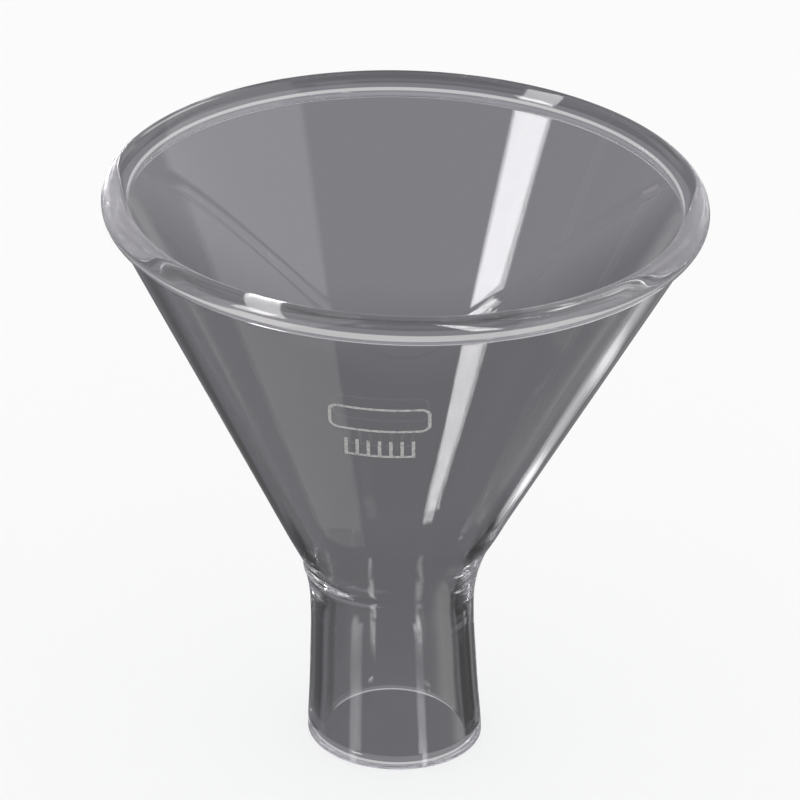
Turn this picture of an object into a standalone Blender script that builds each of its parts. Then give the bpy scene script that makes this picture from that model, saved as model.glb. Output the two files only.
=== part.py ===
"""Glass powder funnel: a beaded rim, a conical bowl, a drawn neck, a short wide stem and two enamel marks.

The frame is +Z up, with the origin at the centre of the stem's flat lower end, and the marks face -Y.
The glass is made as turned rings that meet at the seams where the real pieces are fused together.
"""

import math

import bpy
from mathutils import Vector

# Driving dimensions, in metres and radians
RIM_RADIUS = 0.0400
TOTAL_HEIGHT = 0.0815
BEAD_RADIUS = 0.00185
CONE_HALF_ANGLE = math.radians(27.5)
CONE_WALL = 0.0018
WALL_SHIFT = 0.00028
STEM_RADIUS = 0.0114
BORE_RADIUS = 0.0091
NECK_OUTER_BLEND = 0.0200
NECK_INNER_BLEND = 0.0220
NECK_MARGIN = 0.0008
END_ROUND = 0.0005
SEAM_GAP = 0.0003

# Enamel marks, in metres, laid out on the unrolled surface of the cone
MARK_THICKNESS = 0.0002
PANEL_BELOW_RIM = 0.0181
PANEL_WIDTH = 0.0134
PANEL_HEIGHT = 0.0052
PANEL_LINE = 0.0006
TICKS_BELOW_RIM = 0.0245
TICKS_WIDTH = 0.0092
TICKS_HEIGHT = 0.0036
TICK_LINE = 0.0006
TICK_COUNT = 7
MARK_STEP = 0.0010

# Facets
TURN_STEPS = 72
BEAD_STEPS = 16
BLEND_STEPS = 6
ROUND_STEPS = 3

# Directions in the (radius, height) plane of the cone's wall
DOWN_WALL = Vector((-math.sin(CONE_HALF_ANGLE), -math.cos(CONE_HALF_ANGLE)))
OUT_OF_WALL = Vector((math.cos(CONE_HALF_ANGLE), -math.sin(CONE_HALF_ANGLE)))

BEAD_CENTRE = Vector((RIM_RADIUS - BEAD_RADIUS, TOTAL_HEIGHT - BEAD_RADIUS))
# The wall's middle stands WALL_SHIFT outside the bead's centre, so the bead bulges more inwards than outwards
OUTER_LINE = BEAD_CENTRE + OUT_OF_WALL * (WALL_SHIFT + CONE_WALL / 2)
INNER_LINE = BEAD_CENTRE + OUT_OF_WALL * (WALL_SHIFT - CONE_WALL / 2)


def clear_scene():
    for obj in list(bpy.data.objects):
        bpy.data.objects.remove(obj, do_unlink=True)


def principled(name, colour, roughness, transmission, ior, alpha):
    """A Principled material of one colour."""
    material = bpy.data.materials.new(name)
    material.use_nodes = True
    shader = material.node_tree.nodes["Principled BSDF"]
    shader.inputs["Base Color"].default_value = (*colour, 1.0)
    shader.inputs["Roughness"].default_value = roughness
    shader.inputs["Metallic"].default_value = 0.0
    shader.inputs["Transmission Weight"].default_value = transmission
    shader.inputs["IOR"].default_value = ior
    shader.inputs["Alpha"].default_value = alpha
    return material


def glass(name):
    return principled(name, (0.90, 0.91, 0.92), 0.03, 1.0, 1.47, 0.35)


def enamel(name):
    return principled(name, (0.86, 0.86, 0.84), 0.45, 0.0, 1.5, 1.0)


def arc(centre, radius, start, end, steps):
    """Points from angle start to angle end round centre, in the (radius, height) plane."""
    points = []
    for step in range(steps + 1):
        angle = start + (end - start) * step / steps
        points.append(centre + radius * Vector((math.cos(angle), math.sin(angle))))
    return points


def turned(name, profile, material):
    """A ring turned from a closed profile, whose points go down its outer side and up its inner side."""
    mesh = bpy.data.meshes.new(name)
    vertices = [(radius, 0.0, height) for radius, height in profile]
    edges = [(index, (index + 1) % len(profile)) for index in range(len(profile))]
    mesh.from_pydata(vertices, edges, [])
    obj = bpy.data.objects.new(name, mesh)
    bpy.context.scene.collection.objects.link(obj)
    screw = obj.modifiers.new("Turn", "SCREW")
    screw.axis = "Z"
    screw.angle = math.tau
    screw.steps = TURN_STEPS
    screw.render_steps = TURN_STEPS
    screw.use_merge_vertices = False
    screw.use_smooth_shade = True
    mesh.materials.append(material)
    return obj


def blend_centre(line_point, straight_radius, blend_radius):
    """Centre of the arc that joins the sloping wall line to a straight wall below it."""
    drop = (line_point.x - straight_radius) / math.tan(CONE_HALF_ANGLE)
    corner_height = line_point.y - drop
    tangent = blend_radius * math.tan(CONE_HALF_ANGLE / 2)
    return Vector((straight_radius + blend_radius, corner_height - tangent))


def down_wall_to(line_point, height):
    """The point of a wall line at this height."""
    return line_point + DOWN_WALL * (line_point.y - height) / math.cos(CONE_HALF_ANGLE)


OUTER_BLEND_CENTRE = blend_centre(OUTER_LINE, STEM_RADIUS, NECK_OUTER_BLEND)
INNER_BLEND_CENTRE = blend_centre(INNER_LINE, BORE_RADIUS, NECK_INNER_BLEND)
OUTER_BLEND_TOP = OUTER_BLEND_CENTRE.y + NECK_OUTER_BLEND * math.sin(CONE_HALF_ANGLE)

# The seams: the cone ends square across its wall, and the stem ends level
CONE_FOOT_OUTER = down_wall_to(OUTER_LINE, OUTER_BLEND_TOP + NECK_MARGIN)
CONE_FOOT_INNER = CONE_FOOT_OUTER - OUT_OF_WALL * CONE_WALL
STEM_TOP = min(OUTER_BLEND_CENTRE.y, INNER_BLEND_CENTRE.y) - NECK_MARGIN


def make_rim_bead():
    """The bead that the rim is melted back into, a solid round ring."""
    profile = arc(BEAD_CENTRE, BEAD_RADIUS, math.tau, 0.0, BEAD_STEPS)[:-1]
    return turned("rim_bead", profile, glass("bead_glass"))


def make_bowl():
    """The conical wall, from just under the bead to the neck."""
    start = DOWN_WALL * (BEAD_RADIUS + SEAM_GAP)
    profile = [OUTER_LINE + start, CONE_FOOT_OUTER, CONE_FOOT_INNER, INNER_LINE + start]
    return turned("bowl", profile, glass("bowl_glass"))


def make_neck():
    """The shoulder that is drawn in from the cone to the stem, with a rounded inside and outside."""
    top = DOWN_WALL * SEAM_GAP
    outer_arc = arc(
        OUTER_BLEND_CENTRE, NECK_OUTER_BLEND, math.pi - CONE_HALF_ANGLE, math.pi, BLEND_STEPS
    )
    inner_arc = arc(
        INNER_BLEND_CENTRE, NECK_INNER_BLEND, math.pi, math.pi - CONE_HALF_ANGLE, BLEND_STEPS
    )
    profile = [CONE_FOOT_OUTER + top]
    profile += outer_arc
    profile += [Vector((STEM_RADIUS, STEM_TOP)), Vector((BORE_RADIUS, STEM_TOP))]
    profile += inner_arc
    profile += [CONE_FOOT_INNER + top]
    return turned("neck", profile, glass("neck_glass"))


def make_stem_tube():
    """The straight tube, cut square at its lower end, with both edges of the cut fire-polished round."""
    outer_round = Vector((STEM_RADIUS - END_ROUND, END_ROUND))
    inner_round = Vector((BORE_RADIUS + END_ROUND, END_ROUND))
    profile = [Vector((STEM_RADIUS, STEM_TOP - SEAM_GAP))]
    profile += arc(outer_round, END_ROUND, 0.0, -math.pi / 2, ROUND_STEPS)
    profile += arc(inner_round, END_ROUND, -math.pi / 2, -math.pi, ROUND_STEPS)
    profile += [Vector((BORE_RADIUS, STEM_TOP - SEAM_GAP))]
    return turned("stem_tube", profile, glass("stem_glass"))


def on_cone(across, from_apex, lift):
    """A point of the unrolled cone, wrapped back round it and lifted off its outer face."""
    slant = math.hypot(across, from_apex)
    turn = math.atan2(across, from_apex) / math.sin(CONE_HALF_ANGLE)
    apex_height = OUTER_LINE.y - OUTER_LINE.x / math.tan(CONE_HALF_ANGLE)
    radius = slant * math.sin(CONE_HALF_ANGLE) + lift * OUT_OF_WALL.x
    height = apex_height + slant * math.cos(CONE_HALF_ANGLE) + lift * OUT_OF_WALL.y
    return (radius * math.sin(turn), -radius * math.cos(turn), height)


def subdivided(stops):
    """The stops, with points added between them no further apart than MARK_STEP."""
    points = [stops[0]]
    for start, end in zip(stops, stops[1:]):
        pieces = max(1, math.ceil((end - start) / MARK_STEP - 1e-6))
        points += [start + (end - start) * piece / pieces for piece in range(1, pieces + 1)]
    return points


def enamel_plate(name, columns, rows, below_rim, filled):
    """A thin plate that follows the cone, made of the cells of a grid whose middle is filled."""
    middle = OUTER_LINE.x / math.sin(CONE_HALF_ANGLE) - below_rim
    sheets = (SEAM_GAP + MARK_THICKNESS, SEAM_GAP)
    across_count = len(columns)
    layer = across_count * len(rows)
    vertices = [
        on_cone(across, middle + up, lift) for lift in sheets for up in rows for across in columns
    ]
    cells = {
        (column, row)
        for column in range(across_count - 1)
        for row in range(len(rows) - 1)
        if filled(
            (columns[column] + columns[column + 1]) / 2, (rows[row] + rows[row + 1]) / 2
        )
    }
    faces = []
    for column, row in sorted(cells):
        low = row * across_count + column
        corners = (low, low + 1, low + 1 + across_count, low + across_count)
        faces.append(corners)
        faces.append(tuple(corner + layer for corner in reversed(corners)))
        neighbours = ((column, row - 1), (column + 1, row), (column, row + 1), (column - 1, row))
        for side, neighbour in enumerate(neighbours):
            if neighbour in cells:
                continue
            start = corners[side]
            end = corners[(side + 1) % 4]
            faces.append((end, start, start + layer, end + layer))
    used = sorted({vertex for face in faces for vertex in face})
    renumbered = {vertex: index for index, vertex in enumerate(used)}
    mesh = bpy.data.meshes.new(name)
    mesh.from_pydata(
        [vertices[vertex] for vertex in used],
        [],
        [[renumbered[vertex] for vertex in face] for face in faces],
    )
    mesh.materials.append(enamel(name + "_enamel"))
    obj = bpy.data.objects.new(name, mesh)
    bpy.context.scene.collection.objects.link(obj)
    return obj


def make_panel_mark():
    """A plain outlined panel, fired on to the front of the cone."""
    half_width = PANEL_WIDTH / 2
    half_height = PANEL_HEIGHT / 2
    columns = subdivided([-half_width, -half_width + PANEL_LINE, half_width - PANEL_LINE, half_width])
    rows = subdivided([-half_height, -half_height + PANEL_LINE, half_height - PANEL_LINE, half_height])

    def on_outline(across, up):
        return abs(across) > half_width - PANEL_LINE or abs(up) > half_height - PANEL_LINE

    return enamel_plate("enamel_panel", columns, rows, PANEL_BELOW_RIM, on_outline)


def make_tick_mark():
    """A short row of ticks that stand on a base line, under the panel."""
    pitch = (TICKS_WIDTH - TICK_LINE) / (TICK_COUNT - 1)
    starts = [-TICKS_WIDTH / 2 + pitch * tick for tick in range(TICK_COUNT)]
    stops = sorted(starts + [start + TICK_LINE for start in starts])
    half_height = TICKS_HEIGHT / 2

    def on_comb(across, up):
        on_tick = any(start < across < start + TICK_LINE for start in starts)
        return on_tick or up < -half_height + TICK_LINE

    rows = [-half_height, -half_height + TICK_LINE, half_height]
    return enamel_plate("enamel_ticks", subdivided(stops), rows, TICKS_BELOW_RIM, on_comb)


def main():
    clear_scene()
    make_rim_bead()
    make_bowl()
    make_neck()
    make_stem_tube()
    make_panel_mark()
    make_tick_mark()


main()
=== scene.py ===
"""Looks for the glass powder funnel: clear glass in four fused stretches, and two marks of white enamel.

Each stretch is a closed ring of its own. Where two of them meet, both end in a seam face that bends no light,
so the wall reads as one piece of glass, as the real one is.
"""

import math

import bpy
import numpy as np
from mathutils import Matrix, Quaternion, Vector


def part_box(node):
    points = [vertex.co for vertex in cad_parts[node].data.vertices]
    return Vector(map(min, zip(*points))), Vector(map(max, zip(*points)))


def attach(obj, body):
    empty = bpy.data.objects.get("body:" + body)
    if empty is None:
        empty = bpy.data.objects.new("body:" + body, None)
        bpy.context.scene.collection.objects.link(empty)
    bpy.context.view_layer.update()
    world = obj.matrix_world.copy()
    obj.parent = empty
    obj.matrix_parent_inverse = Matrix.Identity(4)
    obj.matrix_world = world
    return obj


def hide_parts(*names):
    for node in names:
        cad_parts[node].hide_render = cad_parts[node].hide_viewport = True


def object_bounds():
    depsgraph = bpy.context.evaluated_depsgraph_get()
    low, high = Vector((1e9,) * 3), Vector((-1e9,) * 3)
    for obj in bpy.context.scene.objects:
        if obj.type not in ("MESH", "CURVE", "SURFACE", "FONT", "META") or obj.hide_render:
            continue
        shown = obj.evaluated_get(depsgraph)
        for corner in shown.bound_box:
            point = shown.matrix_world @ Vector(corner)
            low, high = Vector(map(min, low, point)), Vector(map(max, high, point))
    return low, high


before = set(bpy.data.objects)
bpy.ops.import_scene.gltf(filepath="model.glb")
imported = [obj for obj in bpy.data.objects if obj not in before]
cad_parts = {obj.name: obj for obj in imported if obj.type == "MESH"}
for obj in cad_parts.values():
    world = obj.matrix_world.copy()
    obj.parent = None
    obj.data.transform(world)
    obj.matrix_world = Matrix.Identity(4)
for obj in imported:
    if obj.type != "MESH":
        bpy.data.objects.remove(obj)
cad_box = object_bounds()

# Sizes from the frame, in metres
bead_low, bead_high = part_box("rim_bead")
TOTAL_HEIGHT = cad_box[1].z
RIM_RADIUS = bead_high.x
BEAD_RADIUS = (bead_high.z - bead_low.z) / 2
STEM_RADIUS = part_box("stem_tube")[1].x

# Sizes that a box does not give, as in the design
CONE_HALF_ANGLE = math.radians(27.5)
CONE_WALL = 0.0018
WALL_SHIFT = 0.00028
BORE_RADIUS = 0.0091
NECK_OUTER_BLEND = 0.0200
NECK_INNER_BLEND = 0.0220
NECK_MARGIN = 0.0008
END_ROUND_OUTSIDE = 0.00035
END_ROUND_INSIDE = 0.0015
BEAD_FILLET = 0.0004
BEAD_SEAM_DEPTH = 0.0030

# How the real one departs from the design, because it is worked by hand over a flame. A weld is a low ridge,
# or a groove where its rise is negative, and it is strongest at its turn. The walls wander most between the
# neck and the rim, less below the neck, and not at all at the rim and at the stem's end.
WAIST_HEIGHT = 0.0185
WAIST_WIDTH = 0.0060
WAIST_DEPTH = 0.00030
FLARE_WIDTH = 0.0062
FLARE_REACH = 0.00050
WELDS = (
    {"height": 0.0256, "rise": 0.00028, "width": 0.0006, "turn": math.radians(-42), "narrowness": 9},
    {"height": 0.0268, "rise": -0.00016, "width": 0.0014, "turn": math.radians(-50), "narrowness": 3},
    {"height": 0.0322, "rise": 0.00010, "width": 0.0018, "turn": math.radians(60), "narrowness": 2},
)
BOWL_LEAN = 0.0145
STEM_LEAN = -0.0440
LEAN_TURNS_BETWEEN = (0.0285, 0.0325)
WANDER = 0.000012
WANDER_BELOW_NECK = 0.12
WANDER_GROWS_BETWEEN = (0.026, 0.040)
CALM_AT_RIM = 0.005
RIM_FADE = 0.020
END_FADE = 0.002

# The enamel marks, laid out on the unrolled cone
PANEL_BELOW_RIM = 0.0181
PANEL_WIDTH = 0.0134
PANEL_HEIGHT = 0.0052
PANEL_CORNER = 0.0012
TICKS_BELOW_RIM = 0.0245
TICKS_WIDTH = 0.0092
TICKS_HEIGHT = 0.0036
TICK_COUNT = 7
STROKE_WIDTH = 0.00045
STROKE_STEP = 0.00025
STROKE_SECTION = ((-0.5, 0.0), (-0.47, 0.6), (-0.3, 1.0), (0.0, 1.06), (0.3, 1.0), (0.47, 0.6), (0.5, 0.0))
ENAMEL_THICKNESS = 0.00003
ENAMEL_LIFT = 0.00001

# Mesh fineness, and the two material slots of a glass ring
TURN_STEPS = 512
WALL_STEP = 0.0012
GLASS_SLOT = 0
SEAM_SLOT = 1

# The camera, by its place round the middle of the rim, and how often light may bend on its way there
CAMERA_TURN = math.radians(4.3)
CAMERA_ELEVATION = math.radians(25.14)
CAMERA_DISTANCE = 0.7636
CAMERA_AIM_HEIGHT = 0.0504
CAMERA_ROLL = math.radians(1.71)
CAMERA_LENS = 261.3
LIGHT_BOUNCES = 128

# The staging's sizes and the tint that its cards share
FLOOR_RADIUS = 6.0
CARDS_SEEN_FROM_HEIGHT = 0.045
CARD_WHITE = (0.985, 0.975, 1.0)
ROOM_BRIGHTNESS = 1.04
SWEEP_TINT = (0.985, 0.965, 1.06)

# How bright the glass's surroundings are, by elevation in degrees
SWEEP_TONES = (
    (-90.0, 0.09),
    (-70.0, 0.09),
    (-57.0, 0.12),
    (-45.0, 0.13),
    (-34.0, 0.143),
    (-26.8, 0.143),
    (-26.0, 0.218),
    (-12.0, 0.22),
    (0.0, 0.27),
    (8.0, 0.34),
    (20.0, 0.30),
    (45.0, 0.27),
    (56.0, 0.90),
    (64.0, 0.70),
    (72.0, 0.16),
)

# Directions in the (radius, height) plane of the cone's wall
DOWN_WALL = np.array((-math.sin(CONE_HALF_ANGLE), -math.cos(CONE_HALF_ANGLE)))
OUT_OF_WALL = np.array((math.cos(CONE_HALF_ANGLE), -math.sin(CONE_HALF_ANGLE)))
BEAD_CENTRE = np.array((RIM_RADIUS - BEAD_RADIUS, TOTAL_HEIGHT - BEAD_RADIUS))
OUTER_LINE = BEAD_CENTRE + OUT_OF_WALL * (WALL_SHIFT + CONE_WALL / 2)
INNER_LINE = BEAD_CENTRE + OUT_OF_WALL * (WALL_SHIFT - CONE_WALL / 2)


# ---------------------------------------------------------------- profiles


def arc(centre, radius, start, end, step=math.radians(4)):
    """Points from angle start to angle end round centre."""
    count = max(2, math.ceil(abs(end - start) / step))
    angles = np.linspace(start, end, count + 1)
    return [np.array(centre) + radius * np.array((math.cos(angle), math.sin(angle))) for angle in angles]


def straight(start, end):
    """Points from start to end, no further apart than WALL_STEP, without the two ends."""
    count = max(1, math.ceil(float(np.linalg.norm(end - start)) / WALL_STEP))
    return [start + (end - start) * step / count for step in range(1, count)]


def blend_centre(line_point, straight_radius, blend_radius):
    """Centre of the arc that joins the sloping wall line to a straight wall below it."""
    drop = (line_point[0] - straight_radius) / math.tan(CONE_HALF_ANGLE)
    tangent = blend_radius * math.tan(CONE_HALF_ANGLE / 2)
    return np.array((straight_radius + blend_radius, line_point[1] - drop - tangent))


OUTER_BLEND_CENTRE = blend_centre(OUTER_LINE, STEM_RADIUS, NECK_OUTER_BLEND)
INNER_BLEND_CENTRE = blend_centre(INNER_LINE, BORE_RADIUS, NECK_INNER_BLEND)
NECK_TOP = OUTER_BLEND_CENTRE[1] + NECK_OUTER_BLEND * math.sin(CONE_HALF_ANGLE) + NECK_MARGIN
STEM_TOP = min(OUTER_BLEND_CENTRE[1], INNER_BLEND_CENTRE[1]) - NECK_MARGIN
CONE_FOOT_OUTER = OUTER_LINE + DOWN_WALL * (OUTER_LINE[1] - NECK_TOP) / math.cos(CONE_HALF_ANGLE)
CONE_FOOT_INNER = CONE_FOOT_OUTER - OUT_OF_WALL * CONE_WALL
BEAD_SEAM_OUTER = OUTER_LINE + DOWN_WALL * BEAD_SEAM_DEPTH
BEAD_SEAM_INNER = INNER_LINE + DOWN_WALL * BEAD_SEAM_DEPTH


def from_bead(out, up):
    """A point given along and up the wall from the bead's centre."""
    return BEAD_CENTRE + OUT_OF_WALL * out - DOWN_WALL * up


def fillet_beside_bead(wall_face):
    """The fillet between the bead and a wall face: how far out and down its centre is, and its angle."""
    side = wall_face + BEAD_FILLET
    drop = math.sqrt((BEAD_RADIUS + BEAD_FILLET) ** 2 - side**2)
    return side, drop, math.atan2(drop, side)


def bead_runs():
    """The bead's one run: up the inner wall, over the bead and down the outer wall."""
    inner_side, inner_drop, inner_angle = fillet_beside_bead(CONE_WALL / 2 - WALL_SHIFT)
    outer_side, outer_drop, outer_angle = fillet_beside_bead(CONE_WALL / 2 + WALL_SHIFT)
    inner = arc((-inner_side, -inner_drop), BEAD_FILLET, 0.0, inner_angle)
    crown = arc((0.0, 0.0), BEAD_RADIUS, math.pi + inner_angle, -outer_angle)
    outer = arc((outer_side, -outer_drop), BEAD_FILLET, math.pi - outer_angle, math.pi)
    shape = [from_bead(*point) for point in inner + crown[1:-1] + outer]
    return [
        [BEAD_SEAM_INNER, *straight(BEAD_SEAM_INNER, shape[0]), *shape]
        + [*straight(shape[-1], BEAD_SEAM_OUTER), BEAD_SEAM_OUTER]
    ]


def bowl_runs():
    """The cone's two runs: down the outer wall and up the inner wall."""
    outer = [BEAD_SEAM_OUTER, *straight(BEAD_SEAM_OUTER, CONE_FOOT_OUTER), CONE_FOOT_OUTER]
    inner = [CONE_FOOT_INNER, *straight(CONE_FOOT_INNER, BEAD_SEAM_INNER), BEAD_SEAM_INNER]
    return [outer, inner]


def neck_runs():
    """The neck's two runs, each an arc from the cone's slope to the tube's upright wall."""
    top = math.pi - CONE_HALF_ANGLE
    step = math.radians(0.5)
    outer = arc(OUTER_BLEND_CENTRE, NECK_OUTER_BLEND, top, math.pi, step)
    inner = arc(INNER_BLEND_CENTRE, NECK_INNER_BLEND, math.pi, top, step)
    return [
        [CONE_FOOT_OUTER, *outer, np.array((STEM_RADIUS, STEM_TOP))],
        [np.array((BORE_RADIUS, STEM_TOP)), *inner, CONE_FOOT_INNER],
    ]


def stem_runs():
    """The tube's one run: down the outside, round the polished end and up the bore."""
    step = math.radians(8)
    outer_top = np.array((STEM_RADIUS, STEM_TOP))
    inner_top = np.array((BORE_RADIUS, STEM_TOP))
    outer_centre = (STEM_RADIUS - END_ROUND_OUTSIDE, END_ROUND_OUTSIDE)
    inner_centre = (BORE_RADIUS + END_ROUND_INSIDE, END_ROUND_INSIDE)
    outer_end = arc(outer_centre, END_ROUND_OUTSIDE, 0.0, -math.pi / 2, step)
    inner_end = arc(inner_centre, END_ROUND_INSIDE, -math.pi / 2, -math.pi, step)
    return [
        [outer_top, *straight(outer_top, outer_end[0]), *outer_end, *inner_end]
        + [*straight(inner_end[-1], inner_top), inner_top]
    ]


def in_scene(name, mesh):
    """A new object of that name in the scene, showing the mesh."""
    obj = bpy.data.objects.new(name, mesh)
    bpy.context.scene.collection.objects.link(obj)
    return obj


# ---------------------------------------------------------------- glass rings


def bump(height, centre, width):
    """A smooth swelling, 1 at its centre."""
    return np.exp(-(((height - centre) / width) ** 2))


def widening(height):
    """How far the tube's radius departs from the design there: a waist at the joint and a flared end."""
    waist = WAIST_DEPTH * bump(height, WAIST_HEIGHT, WAIST_WIDTH)
    return FLARE_REACH * bump(height, 0.0, FLARE_WIDTH) - waist


def lean(height):
    """How far the glass's middle has moved towards +X there: one slope below the joint, another above it."""
    low, high = LEAN_TURNS_BETWEEN
    steps = np.linspace(0.0, TOTAL_HEIGHT, 400)
    share = np.clip((steps - low) / (high - low), 0.0, 1.0)
    share = share * share * (3.0 - 2.0 * share)
    slope = STEM_LEAN + (BOWL_LEAN - STEM_LEAN) * share
    moved = np.concatenate(([0.0], np.cumsum((slope[1:] + slope[:-1]) / 2 * np.diff(steps))))
    return np.interp(height, steps, moved - moved[-1])


def unevenness(turn, height, inside):
    """How far hand-worked glass stands off its true shape there: twice as much inside, none at the rim."""
    slow = np.sin(3 * turn + 41 * height + 0.6) + 0.7 * np.sin(5 * turn - 93 * height + 2.1)
    quick = 0.12 * np.sin(11 * turn + 7 * np.sin(37 * height))
    low, high = WANDER_GROWS_BETWEEN
    above_neck = np.clip((height - low) / (high - low), WANDER_BELOW_NECK, 1.0)
    below_rim = np.clip((TOTAL_HEIGHT - CALM_AT_RIM - height) / RIM_FADE, 0.0, 1.0)
    return (slow + quick) * above_neck * below_rim * (WANDER + WANDER * inside)


def weld_ridge(turn, height):
    """The low ridges and the groove that the neck's joints left outside, each strongest at one turn."""
    ridge = 0.0
    for weld in WELDS:
        strength = (0.5 + 0.5 * np.cos(turn - weld["turn"])) ** weld["narrowness"]
        ridge = ridge + weld["rise"] * strength * bump(height, weld["height"], weld["width"])
    return ridge


def slope_along(points, stretches):
    """The direction of the surface along each run. The last axis but one runs along the profile."""
    slopes = np.zeros_like(points)
    for stretch in stretches:
        slopes[..., stretch, :] = np.gradient(points[..., stretch, :], axis=-2)
    return slopes


def worked_places(profile, outward):
    """Where the profile's points lie at every turn, with the glassblower's departures from the design."""
    turns = np.arange(TURN_STEPS) * math.tau / TURN_STEPS
    inside = (outward[:, 0] < 0.0).astype(float)
    above_end = np.clip(profile[:, 1] / END_FADE, 0.0, 1.0)
    stand = unevenness(turns[:, None], profile[:, 1], inside) * above_end
    stand = stand + weld_ridge(turns[:, None], profile[:, 1]) * (1.0 - inside)
    radius = profile[:, 0] + widening(profile[:, 1]) + outward[:, 0] * stand
    height = profile[:, 1] + outward[:, 1] * stand
    return np.stack(
        (
            radius * np.sin(turns)[:, None] + lean(profile[:, 1]),
            -radius * np.cos(turns)[:, None],
            height,
        ),
        axis=2,
    )


def ring_faces(size, run_ends):
    """The faces of a closed ring of size points by TURN_STEPS turns, and the material slot of each."""
    faces = []
    slots = []
    for step in range(TURN_STEPS):
        following = (step + 1) % TURN_STEPS
        for point in range(size):
            beside = (point + 1) % size
            corners = (
                step * size + point,
                step * size + beside,
                following * size + beside,
                following * size + point,
            )
            faces.append(corners)
            slots.append(SEAM_SLOT if point in run_ends else GLASS_SLOT)
    return faces, slots


def set_smooth_normals(mesh, point_normals):
    """Gives the glass faces the surface's own normals, and keeps the seams flat."""
    loop_normals = np.zeros((len(mesh.loops), 3))
    for polygon in mesh.polygons:
        for loop in polygon.loop_indices:
            if polygon.material_index == SEAM_SLOT:
                loop_normals[loop] = polygon.normal
            else:
                loop_normals[loop] = point_normals[mesh.loops[loop].vertex_index]
    mesh.normals_split_custom_set(loop_normals.tolist())


def glass_ring(name, runs, glass, seam):
    """A ring turned from runs of surface. The faces that join one run to the next are seams."""
    profile = np.array([point for run in runs for point in run])
    run_stops = np.cumsum([len(run) for run in runs])
    stretches = [slice(stop - len(run), stop) for run, stop in zip(runs, run_stops)]

    along = slope_along(profile, stretches)
    along /= np.linalg.norm(along, axis=1)[:, None]
    outward = np.stack((-along[:, 1], along[:, 0]), axis=1)
    places = worked_places(profile, outward)

    round_tangent = np.roll(places, -1, axis=0) - np.roll(places, 1, axis=0)
    normals = np.cross(slope_along(places, stretches), round_tangent)
    normals /= np.linalg.norm(normals, axis=2)[:, :, None]

    faces, slots = ring_faces(len(profile), set(run_stops - 1))
    mesh = bpy.data.meshes.new(name)
    mesh.from_pydata(places.reshape(-1, 3).tolist(), [], faces)
    mesh.materials.append(glass)
    mesh.materials.append(seam)
    mesh.polygons.foreach_set("material_index", slots)
    mesh.shade_smooth()
    mesh.update()
    set_smooth_normals(mesh, normals.reshape(-1, 3))
    return in_scene(name, mesh)


# ---------------------------------------------------------------- enamel marks


def on_cone(across, from_apex, lift):
    """A point of the unrolled cone, wrapped back round it and lifted off its outer face."""
    slant = math.hypot(across, from_apex)
    turn = math.atan2(across, from_apex) / math.sin(CONE_HALF_ANGLE)
    apex_height = OUTER_LINE[1] - OUTER_LINE[0] / math.tan(CONE_HALF_ANGLE)
    radius = slant * math.sin(CONE_HALF_ANGLE)
    height = apex_height + slant * math.cos(CONE_HALF_ANGLE)
    sideways = float(lean(height))
    lift = lift + float(unevenness(turn, height, 0.0))
    radius += lift * OUT_OF_WALL[0] + float(widening(height))
    height += lift * OUT_OF_WALL[1]
    return (radius * math.sin(turn) + sideways, -radius * math.cos(turn), height)


def stroke(path, closed, width):
    """A closed, softly domed ribbon of enamel along a path on the unrolled cone, as (vertices, faces)."""
    path = np.array(path)
    if closed:
        tangents = np.roll(path, -1, axis=0) - np.roll(path, 1, axis=0)
    else:
        tangents = np.gradient(path, axis=0)
    tangents /= np.linalg.norm(tangents, axis=1)[:, None]
    sides = np.stack((tangents[:, 1], -tangents[:, 0]), axis=1)
    vertices = []
    for index, (centre, side) in enumerate(zip(path, sides)):
        ragged = 1.0 + 0.05 * math.sin(2.3 * index) + 0.04 * math.sin(0.9 * index + 1.3)
        for offset, rise in STROKE_SECTION:
            place = centre + side * offset * width * ragged
            lift = ENAMEL_LIFT + rise * ENAMEL_THICKNESS
            vertices.append(on_cone(place[0], place[1], lift))
    size = len(STROKE_SECTION)
    last = len(path) if closed else len(path) - 1
    faces = []
    for index in range(last):
        following = (index + 1) % len(path)
        for point in range(size):
            beside = (point + 1) % size
            faces.append(
                (
                    index * size + point,
                    following * size + point,
                    following * size + beside,
                    index * size + beside,
                )
            )
    if not closed:
        faces.append(tuple(range(size)))
        faces.append(tuple(reversed(range((len(path) - 1) * size, len(path) * size))))
    return vertices, faces


def enamel_mark(name, strokes, material):
    """One mesh of all the strokes of a mark."""
    vertices = []
    faces = []
    for stroke_vertices, stroke_faces in strokes:
        offset = len(vertices)
        vertices += stroke_vertices
        faces += [tuple(offset + vertex for vertex in face) for face in stroke_faces]
    mesh = bpy.data.meshes.new(name)
    mesh.from_pydata(vertices, [], faces)
    mesh.materials.append(material)
    mesh.shade_smooth()
    mesh.update()
    return in_scene(name, mesh)


def line_path(start, end):
    """Points from start to end, both included, at most STROKE_STEP apart."""
    count = max(2, math.ceil(math.dist(start, end) / STROKE_STEP))
    return [
        (start[0] + (end[0] - start[0]) * step / count, start[1] + (end[1] - start[1]) * step / count)
        for step in range(count + 1)
    ]


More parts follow.
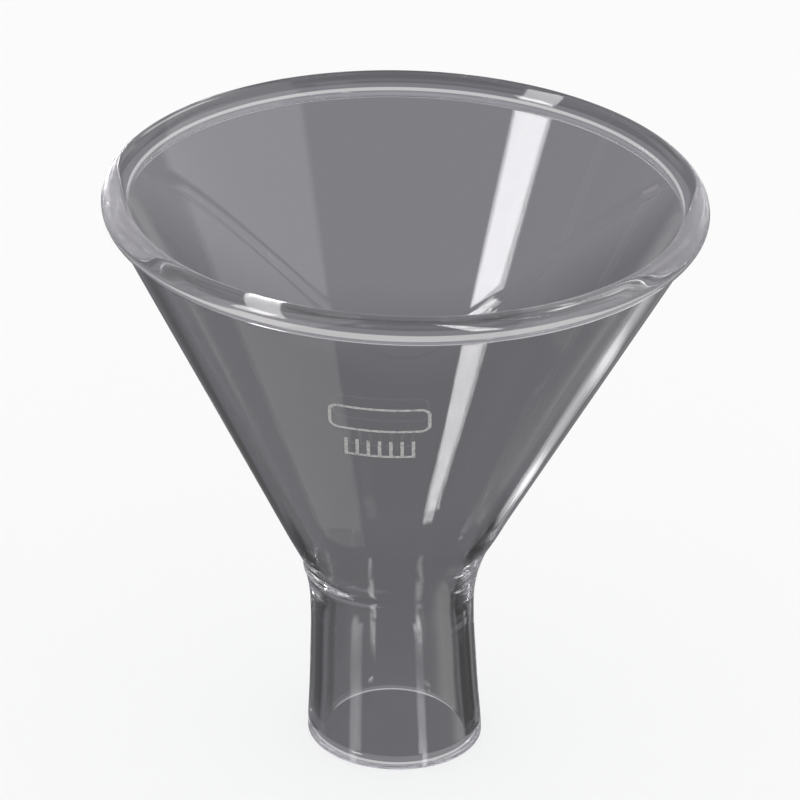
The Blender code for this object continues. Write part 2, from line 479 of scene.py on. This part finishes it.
def panel_strokes():
    """A rounded rectangle in outline."""
    middle = OUTER_LINE[0] / math.sin(CONE_HALF_ANGLE) - PANEL_BELOW_RIM
    half_width = (PANEL_WIDTH - STROKE_WIDTH) / 2
    half_height = (PANEL_HEIGHT - STROKE_WIDTH) / 2
    path = []
    corners = ((1, 1, 0.0), (-1, 1, 0.5), (-1, -1, 1.0), (1, -1, 1.5))
    for right, up, quarter in corners:
        centre = (right * (half_width - PANEL_CORNER), middle + up * (half_height - PANEL_CORNER))
        turn = arc(centre, PANEL_CORNER, quarter * math.pi, (quarter + 0.5) * math.pi, math.radians(12))
        if path:
            path += line_path(path[-1], turn[0])[1:-1]
        path += [tuple(point) for point in turn]
    path += line_path(path[-1], path[0])[1:-1]
    return [stroke(path, True, STROKE_WIDTH)]


def tick_strokes():
    """A base line with ticks standing on it."""
    middle = OUTER_LINE[0] / math.sin(CONE_HALF_ANGLE) - TICKS_BELOW_RIM
    reach = (TICKS_WIDTH - STROKE_WIDTH) / 2
    foot = middle - (TICKS_HEIGHT - STROKE_WIDTH) / 2
    top = middle + TICKS_HEIGHT / 2
    half = STROKE_WIDTH / 2
    strokes = [stroke(line_path((-reach - half, foot), (reach + half, foot)), False, STROKE_WIDTH)]
    for tick in range(TICK_COUNT):
        across = -reach + 2 * reach * tick / (TICK_COUNT - 1)
        strokes.append(stroke(line_path((across, foot + half), (across, top)), False, STROKE_WIDTH))
    return strokes


# ---------------------------------------------------------------- materials


def new_material(name):
    """An empty node material: (material, nodes, links, output)."""
    material = bpy.data.materials.new(name)
    material.use_nodes = True
    nodes = material.node_tree.nodes
    nodes.clear()
    output = nodes.new("ShaderNodeOutputMaterial")
    return material, nodes, material.node_tree.links, output


def mixed(nodes, links, share, first, second):
    """A blend of two shaders: the first where share is 0 and the second where it is 1."""
    mix = nodes.new("ShaderNodeMixShader")
    links.new(share, mix.inputs["Fac"])
    links.new(first, mix.inputs[1])
    links.new(second, mix.inputs[2])
    return mix.outputs["Shader"]


def on_either_ray(nodes, links, first, second):
    """1 on rays of either kind, and 0 on all others."""
    path = nodes.new("ShaderNodeLightPath")
    either = nodes.new("ShaderNodeMath")
    either.operation = "MAXIMUM"
    links.new(path.outputs[first], either.inputs[0])
    links.new(path.outputs[second], either.inputs[1])
    return either.outputs[0]


def glass_material():
    """Clear borosilicate glass, fire-polished, with faint lines from drawing and a trace of haze."""
    material, nodes, links, output = new_material("clear_glass")
    glass = nodes.new("ShaderNodeBsdfPrincipled")
    glass.inputs["Base Color"].default_value = (0.975, 0.975, 0.967, 1.0)

    place = nodes.new("ShaderNodeTexCoord")
    along_wall = nodes.new("ShaderNodeMapping")
    along_wall.inputs["Scale"].default_value = (1.0, 1.0, 0.12)
    links.new(place.outputs["Object"], along_wall.inputs["Vector"])
    lines = nodes.new("ShaderNodeTexNoise")
    lines.inputs["Scale"].default_value = 260.0
    lines.inputs["Detail"].default_value = 3.0
    links.new(along_wall.outputs["Vector"], lines.inputs["Vector"])
    haze = nodes.new("ShaderNodeMapRange")
    haze.inputs["From Min"].default_value = 0.45
    haze.inputs["From Max"].default_value = 0.75
    haze.inputs["To Max"].default_value = 0.012
    links.new(lines.outputs["Fac"], haze.inputs["Value"])
    links.new(haze.outputs["Result"], glass.inputs["Roughness"])
    relief = nodes.new("ShaderNodeBump")
    relief.inputs["Strength"].default_value = 0.15
    relief.inputs["Distance"].default_value = 0.000008
    links.new(lines.outputs["Fac"], relief.inputs["Height"])
    links.new(relief.outputs["Normal"], glass.inputs["Normal"])
    glass.inputs["IOR"].default_value = 1.473
    glass.inputs["Transmission Weight"].default_value = 1.0

    # What lights the floor and the enamel crosses the glass unbent, which keeps the shadow soft and even
    unbent = nodes.new("ShaderNodeBsdfTransparent")
    unbent.inputs["Color"].default_value = (0.93, 0.935, 0.94, 1.0)
    lights_matt = on_either_ray(nodes, links, "Is Shadow Ray", "Is Diffuse Ray")
    surface = mixed(nodes, links, lights_matt, glass.outputs["BSDF"], unbent.outputs["BSDF"])
    links.new(surface, output.inputs["Surface"])
    return material


def seam_material():
    """The fused joint inside the glass, which light crosses unbent."""
    material, nodes, links, output = new_material("fused_seam")
    clear = nodes.new("ShaderNodeBsdfTransparent")
    links.new(clear.outputs["BSDF"], output.inputs["Surface"])
    return material


def enamel_material():
    """White enamel fired on to the glass: satin, a little uneven in cover."""
    material, nodes, links, output = new_material("white_enamel")
    enamel = nodes.new("ShaderNodeBsdfPrincipled")
    enamel.inputs["Roughness"].default_value = 0.42
    place = nodes.new("ShaderNodeTexCoord")
    grain = nodes.new("ShaderNodeTexNoise")
    grain.inputs["Scale"].default_value = 2600.0
    grain.inputs["Detail"].default_value = 4.0
    links.new(place.outputs["Object"], grain.inputs["Vector"])
    cover = nodes.new("ShaderNodeValToRGB")
    cover.color_ramp.elements[0].position = 0.32
    cover.color_ramp.elements[0].color = (0.24, 0.24, 0.24, 1.0)
    cover.color_ramp.elements[1].position = 0.55
    cover.color_ramp.elements[1].color = (0.46, 0.46, 0.45, 1.0)
    links.new(grain.outputs["Fac"], cover.inputs["Fac"])
    links.new(cover.outputs["Color"], enamel.inputs["Base Color"])
    relief = nodes.new("ShaderNodeBump")
    relief.inputs["Strength"].default_value = 0.3
    relief.inputs["Distance"].default_value = 0.00002
    links.new(grain.outputs["Fac"], relief.inputs["Height"])
    links.new(relief.outputs["Normal"], enamel.inputs["Normal"])
    links.new(enamel.outputs["BSDF"], output.inputs["Surface"])
    return material


# ---------------------------------------------------------------- staging


def seen_from_camera_side(azimuth, elevation):
    """A unit vector from the funnel: azimuth 0 points to the camera's side, 90 to its right."""
    turn = CAMERA_TURN + math.radians(azimuth)
    rise = math.radians(elevation)
    return Vector((math.sin(turn) * math.cos(rise), -math.cos(turn) * math.cos(rise), math.sin(rise)))


def glass_only(obj):
    """Hides a card from the camera, from matt surfaces and from shadows, so that only the glass shows or
    mirrors it.
    """
    obj.visible_camera = False
    obj.visible_diffuse = False
    obj.visible_shadow = False
    obj.visible_volume_scatter = False


def card_material(name, radiance, soft):
    """A glowing card's surface. Towards each edge it fades into clear air, over the share given by soft."""
    material, nodes, links, output = new_material(name)
    glow = nodes.new("ShaderNodeEmission")
    glow.inputs["Color"].default_value = (*CARD_WHITE, 1.0)
    glow.inputs["Strength"].default_value = radiance
    clear = nodes.new("ShaderNodeBsdfTransparent")
    place = nodes.new("ShaderNodeTexCoord")
    parts = nodes.new("ShaderNodeSeparateXYZ")
    links.new(place.outputs["UV"], parts.inputs["Vector"])
    cover = nodes.new("ShaderNodeMath")
    cover.operation = "MULTIPLY"
    for index, axis in enumerate(("X", "Y")):
        from_edge = nodes.new("ShaderNodeMath")
        from_edge.operation = "PINGPONG"
        from_edge.inputs[1].default_value = 0.5
        links.new(parts.outputs[axis], from_edge.inputs[0])
        fade = nodes.new("ShaderNodeMapRange")
        fade.interpolation_type = "SMOOTHSTEP"
        fade.inputs["From Max"].default_value = soft
        links.new(from_edge.outputs[0], fade.inputs["Value"])
        links.new(fade.outputs["Result"], cover.inputs[index])
    surface = mixed(nodes, links, cover.outputs[0], clear.outputs["BSDF"], glow.outputs["Emission"])
    links.new(surface, output.inputs["Surface"])
    return material


def card(name, azimuths, elevations, distance, radiance, soft=0.02):
    """A flat upright card between two azimuths and two elevations, in degrees as the bowl's middle sees them.

    Its distance from the axis is in metres, and soft is the share of it that fades out at each edge.
    """
    half = math.radians(azimuths[1] - azimuths[0]) / 2
    corners = []
    for azimuth, elevation in zip((0, 1, 1, 0), (0, 0, 1, 1)):
        place = seen_from_camera_side(azimuths[azimuth], 0.0) * distance / math.cos(half)
        place.z = CARDS_SEEN_FROM_HEIGHT + distance * math.tan(math.radians(elevations[elevation]))
        corners.append(place)
    mesh = bpy.data.meshes.new(name)
    mesh.from_pydata(corners, [], [(0, 1, 2, 3)])
    across_card = mesh.uv_layers.new(name="across_card")
    for loop, corner in zip(across_card.data, ((0, 0), (1, 0), (1, 1), (0, 1))):
        loop.uv = corner
    mesh.materials.append(card_material(name, radiance, soft))
    glass_only(in_scene(name, mesh))


def make_cards():
    """Soft boxes and dark flags for the glass. Those close below give the stem its light and dark lines."""
    card("strip_box", (-63.3, -45.9), (6.0, 32.5), 0.8, 9.5, 0.1)
    card("strip_foot", (-58.5, -43.5), (-51.5, -33.8), 0.085, 2.8, 0.4)
    card("side_panel", (45.0, 117.0), (-6.0, 45.0), 1.0, 1.12, 0.05)
    card("panel_foot", (44.0, 105.0), (-51.5, -33.8), 0.085, 0.2, 0.1)
    card("panel_edge", (34.0, 44.0), (-51.5, -33.8), 0.084, 6.5, 0.45)
    card("back_light", (138.0, 222.0), (28.0, 60.0), 1.2, 0.8, 0.15)
    card("window_bar", (-89.5, -87.5), (5.0, 30.0), 1.2, 0.5)
    card("far_window_bar", (-126.0, -123.5), (-4.0, 20.0), 1.2, 0.5)
    card("right_glow", (145.0, 160.0), (-52.0, -33.0), 1.0, 0.5, 0.2)
    card("right_wall", (150.0, 173.0), (-34.0, -26.5), 1.3, 0.225, 0.25)
    card("left_shade", (-168.0, -152.0), (-42.0, -32.0), 1.0, 0.085, 0.2)
    card("left_flag", (-152.0, -116.0), (-58.5, -45.8), 0.040, 0.052, 0.3)
    card("right_flag", (105.0, 151.0), (-58.5, -45.8), 0.040, 0.045, 0.22)
    card("right_patch", (136.0, 148.0), (-43.5, -37.4), 0.085, 1.5, 0.35)
    card("upper_right_patch", (127.0, 143.0), (-32.5, -24.0), 0.085, 1.0, 0.35)
    card("back_wall", (142.0, 218.0), (-14.0, -1.0), 1.3, 0.6, 0.2)
    card("bead_glow", (20.0, 40.0), (12.0, 26.0), 1.1, 1.0, 0.3)


def make_floor():
    """The pale floor that the camera sees."""
    bpy.ops.mesh.primitive_circle_add(vertices=96, radius=FLOOR_RADIUS, fill_type="NGON")
    floor = bpy.context.active_object
    floor.name = "floor"
    material, nodes, links, output = new_material("pale_floor")
    matt = nodes.new("ShaderNodeBsdfDiffuse")
    matt.inputs["Color"].default_value = (0.93, 0.93, 0.93, 1.0)
    links.new(matt.outputs["BSDF"], output.inputs["Surface"])
    floor.data.materials.append(material)
    floor.visible_transmission = False
    floor.visible_glossy = False


def make_world():
    """A pale room for the camera and for matt surfaces, and a grey sweep, dark below, for the glass."""
    world = bpy.data.worlds.new("room")
    bpy.context.scene.world = world
    world.use_nodes = True
    nodes = world.node_tree.nodes
    links = world.node_tree.links
    nodes.clear()
    output = nodes.new("ShaderNodeOutputWorld")
    pale = nodes.new("ShaderNodeBackground")
    pale.inputs["Color"].default_value = (1.0, 1.0, 1.0, 1.0)
    pale.inputs["Strength"].default_value = ROOM_BRIGHTNESS

    direction = nodes.new("ShaderNodeTexCoord")
    parts = nodes.new("ShaderNodeSeparateXYZ")
    links.new(direction.outputs["Generated"], parts.inputs["Vector"])
    height = nodes.new("ShaderNodeMapRange")
    height.inputs["From Min"].default_value = -1.0
    height.inputs["From Max"].default_value = 1.0
    links.new(parts.outputs["Z"], height.inputs["Value"])
    shade = nodes.new("ShaderNodeValToRGB")
    ramp = shade.color_ramp
    while len(ramp.elements) < len(SWEEP_TONES):
        ramp.elements.new(0.5)
    for element, (elevation, tone) in zip(ramp.elements, SWEEP_TONES):
        element.position = (math.sin(math.radians(elevation)) + 1.0) / 2
        element.color = (*(tone * share for share in SWEEP_TINT), 1.0)
    links.new(height.outputs["Result"], shade.inputs["Fac"])
    grey = nodes.new("ShaderNodeBackground")
    links.new(shade.outputs["Color"], grey.inputs["Color"])

    seen_by_glass = on_either_ray(nodes, links, "Is Transmission Ray", "Is Glossy Ray")
    surface = mixed(nodes, links, seen_by_glass, pale.outputs["Background"], grey.outputs["Background"])
    links.new(surface, output.inputs["Surface"])


def make_camera():
    """A long lens from the front and above, rolled a little."""
    data = bpy.data.cameras.new("camera")
    data.lens = CAMERA_LENS
    data.sensor_width = 36.0
    data.clip_start = 0.01
    camera = bpy.data.objects.new("camera", data)
    rim_middle = Vector((0.0, 0.0, BEAD_CENTRE[1]))
    away = seen_from_camera_side(0.0, math.degrees(CAMERA_ELEVATION))
    camera.location = rim_middle + away * CAMERA_DISTANCE
    aim = Vector((0.0, 0.0, CAMERA_AIM_HEIGHT))
    look = (aim - camera.location).to_track_quat("-Z", "Y")
    camera.rotation_mode = "QUATERNION"
    camera.rotation_quaternion = look @ Quaternion((0.0, 0.0, 1.0), CAMERA_ROLL)
    bpy.context.scene.collection.objects.link(camera)
    bpy.context.scene.camera = camera


def set_render():
    """Enough bounces for light to find its way out of the thick glass."""
    scene = bpy.context.scene
    scene.view_settings.view_transform = "Standard"
    scene.cycles.max_bounces = LIGHT_BOUNCES
    scene.cycles.transmission_bounces = LIGHT_BOUNCES
    scene.cycles.glossy_bounces = LIGHT_BOUNCES
    scene.cycles.transparent_max_bounces = LIGHT_BOUNCES
    scene.cycles.caustics_refractive = True


# ---------------------------------------------------------------- the funnel


def make_funnel():
    """The four glass stretches and the two marks, each in place of its CAD piece."""
    glass = glass_material()
    seam = seam_material()
    enamel = enamel_material()
    rings = (
        ("glass_rim_bead", bead_runs(), "rim_bead"),
        ("glass_bowl", bowl_runs(), "bowl"),
        ("glass_neck", neck_runs(), "neck"),
        ("glass_stem_tube", stem_runs(), "stem_tube"),
    )
    for name, runs, node in rings:
        ring = glass_ring(name, runs, glass, seam)
        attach(ring, "root")
        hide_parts(node)
    marks = (
        ("fired_panel", panel_strokes(), "enamel_panel"),
        ("fired_ticks", tick_strokes(), "enamel_ticks"),
    )
    for name, strokes, node in marks:
        mark = enamel_mark(name, strokes, enamel)
        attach(mark, "root")
        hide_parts(node)


make_camera()
make_world()
make_cards()
make_floor()
set_render()
make_funnel()
